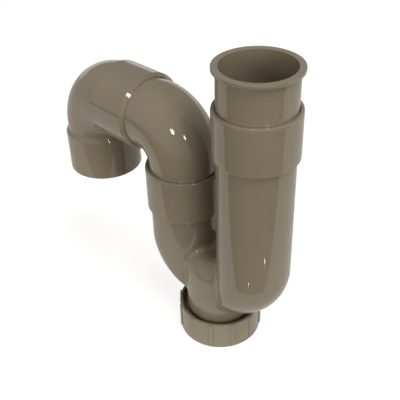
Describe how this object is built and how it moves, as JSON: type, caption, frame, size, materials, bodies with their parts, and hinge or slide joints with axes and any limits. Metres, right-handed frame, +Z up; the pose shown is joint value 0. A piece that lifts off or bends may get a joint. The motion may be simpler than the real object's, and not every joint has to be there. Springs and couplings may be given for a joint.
{
  "type": "basin trap",
  "caption": "Tubular basin trap for waste pipe, with a sleeve inlet, a swivelling outlet bend and elbow, and a screw cap underneath for cleaning out.",
  "frame": {"origin": "centre of the inlet sleeve's top face", "axes": "+Z up along the inlet's axis and out of its mouth, -X towards the outlet, +Y across the trap"},
  "size_m": [0.2102, 0.0622, 0.2211],
  "materials": {
    "taupe": "glossy moulded plastic",
    "seal": "matt rubber"
  },
  "bodies": {
    "trap": {"trap_body": "taupe"},
    "sleeve": {"inlet_sleeve": "taupe"},
    "bend": {"outlet_bend": "taupe"},
    "elbow": {"outlet_elbow": "taupe"},
    "seal": {"cap_seal": "seal"},
    "cap": {"cleanout_cap": "taupe"}
  },
  "joints": [
    {"name": "sleeve_slide", "type": "slide", "parent": "trap", "child": "sleeve", "axis": [0, 0, 1], "range_m": [0, 0.025]},
    {"name": "bend_swivel", "type": "hinge", "parent": "trap", "child": "bend", "pos_m": [-0.064, 0, -0.1], "axis": [0, 0, 1], "range_deg": [-115, 115]},
    {"name": "elbow_swivel", "type": "hinge", "parent": "bend", "child": "elbow", "pos_m": [-0.11, 0, -0.0634], "axis": [-1, 0, 0], "continuous": true},
    {"name": "cap_travel", "type": "slide", "parent": "trap", "child": "seal", "axis": [0, 0, -1], "range_m": [0, 0.0137]},
    {"name": "cap_turn", "type": "hinge", "parent": "seal", "child": "cap", "pos_m": [-0.032, 0, -0.21], "axis": [0, 0, -1], "range_deg": [0, 1224]}
  ],
  "couplings": [
    {"joint": "cap_travel", "follows": "cap_turn", "m_per_rad": 0.00063662}
  ]
}
